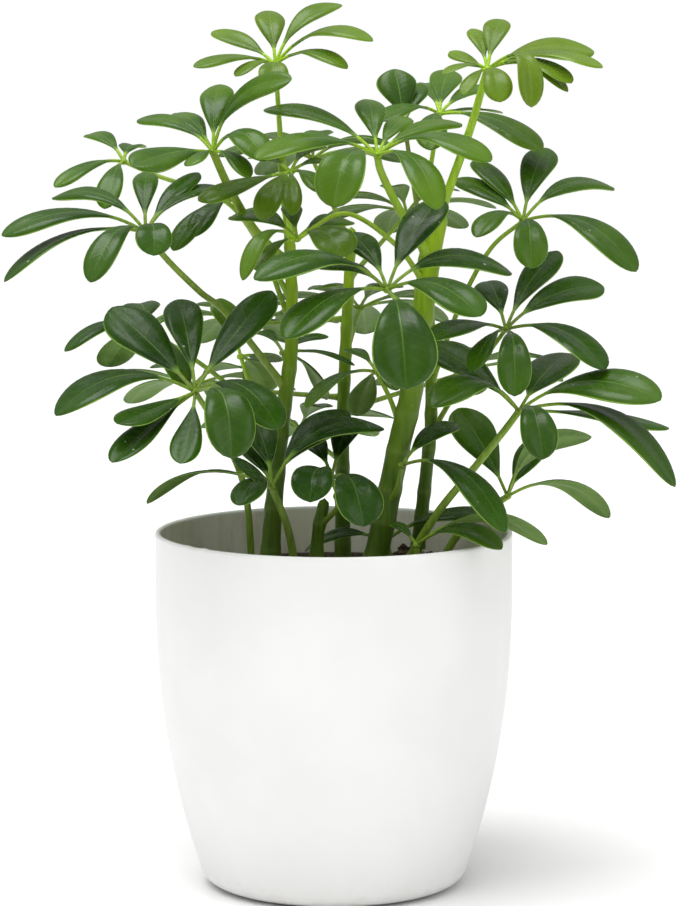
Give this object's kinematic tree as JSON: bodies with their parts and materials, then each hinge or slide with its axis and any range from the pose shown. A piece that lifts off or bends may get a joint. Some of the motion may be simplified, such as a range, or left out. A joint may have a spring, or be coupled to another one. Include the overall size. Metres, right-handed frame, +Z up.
{
  "type": "potted umbrella plant",
  "caption": "Bushy umbrella plant with glossy palmate leaves on green stems, in soil in a nursery pot inside a tapered white cachepot.",
  "frame": {"origin": "centre of the cachepot's flat underside, on the surface that it stands on", "axes": "+Z up; -Y is the front, the side that the picture shows; +X is to the right seen from the front"},
  "size_m": [0.2931, 0.2697, 0.3943],
  "materials": {
    "pot_plastic": "satin off-white moulded plastic",
    "nursery_plastic": "thin dark brown plastic",
    "soil_dark": "damp, crumbly potting soil",
    "stem_green": "smooth green bark",
    "leaf_green": "glossy leathery leaf with a pale midrib"
  },
  "bodies": {
    "root": {"cachepot": "pot_plastic", "nursery_pot": "nursery_plastic", "soil": "soil_dark", "stem_main": "stem_green", "stem_left": "stem_green", "stem_right": "stem_green", "stem_back": "stem_green", "stem_short": "stem_green", "leaf_01": "leaf_green", "leaf_02": "leaf_green", "leaf_03": "leaf_green", "leaf_04": "leaf_green", "leaf_05": "leaf_green", "leaf_06": "leaf_green", "leaf_07": "leaf_green", "leaf_08": "leaf_green", "leaf_09": "leaf_green", "leaf_10": "leaf_green", "leaf_11": "leaf_green", "leaf_12": "leaf_green", "leaf_13": "leaf_green", "leaf_14": "leaf_green", "leaf_15": "leaf_green", "leaf_16": "leaf_green", "leaf_17": "leaf_green", "leaf_18": "leaf_green", "leaf_19": "leaf_green", "leaf_20": "leaf_green", "leaf_21": "leaf_green", "leaf_22": "leaf_green", "leaf_23": "leaf_green", "leaf_24": "leaf_green", "leaf_25": "leaf_green", "leaf_26": "leaf_green", "leaf_27": "leaf_green", "leaf_28": "leaf_green", "leaf_29": "leaf_green", "leaf_30": "leaf_green", "leaf_31": "leaf_green", "leaf_32": "leaf_green", "leaf_33": "leaf_green"}
  },
  "joints": []
}
